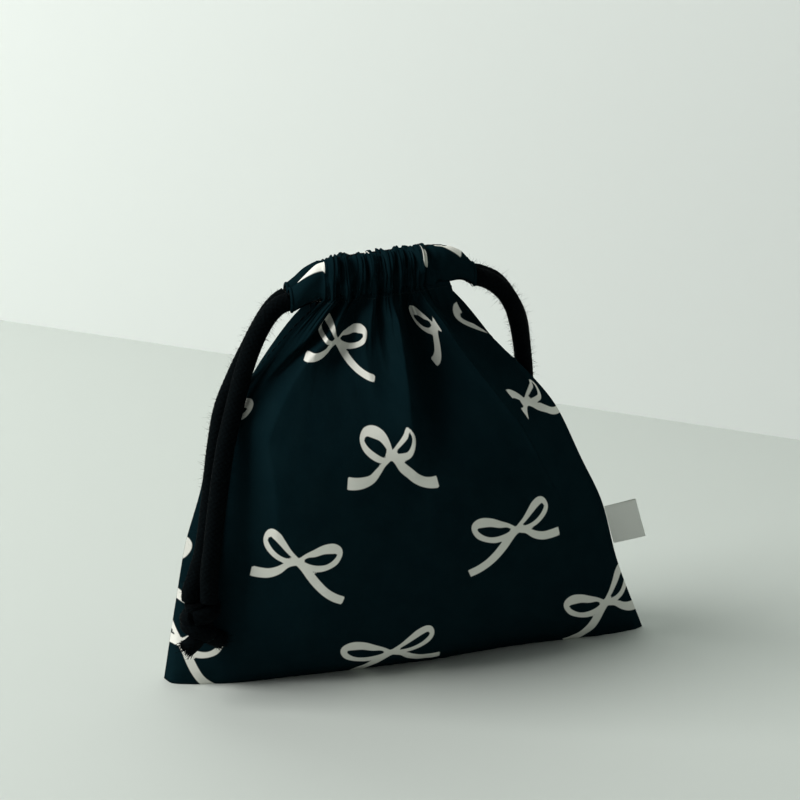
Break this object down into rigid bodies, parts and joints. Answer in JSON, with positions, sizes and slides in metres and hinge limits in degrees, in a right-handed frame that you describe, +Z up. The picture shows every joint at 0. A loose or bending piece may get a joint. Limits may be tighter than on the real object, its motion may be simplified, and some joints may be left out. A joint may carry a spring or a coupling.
{
  "type": "drawstring pouch",
  "caption": "Small cloth drawstring pouch standing on its bottom seam, neck gathered shut in a corded casing, a knotted cord hanging at each side and a folded tab in the side seam.",
  "frame": {"origin": "on the table under the middle of the bottom seam, in the flat resting face", "axes": "+X along the bottom seam towards the side with the tab, +Y from the front panel to the back panel, +Z up"},
  "size_m": [0.19, 0.0665, 0.1613],
  "materials": {
    "printed_cotton": "dark navy plain-weave cotton with a soft sheen, printed with pale grey ribbon bows",
    "cotton_cord": "black braided cotton, slightly fuzzy",
    "label_tape": "pale woven tape, plain"
  },
  "bodies": {
    "root": {"front_panel": "printed_cotton", "back_panel": "printed_cotton", "side_label": "label_tape", "left_drawcord": "cotton_cord", "right_drawcord": "cotton_cord", "left_cord_knot": "cotton_cord", "right_cord_knot": "cotton_cord"}
  },
  "joints": []
}
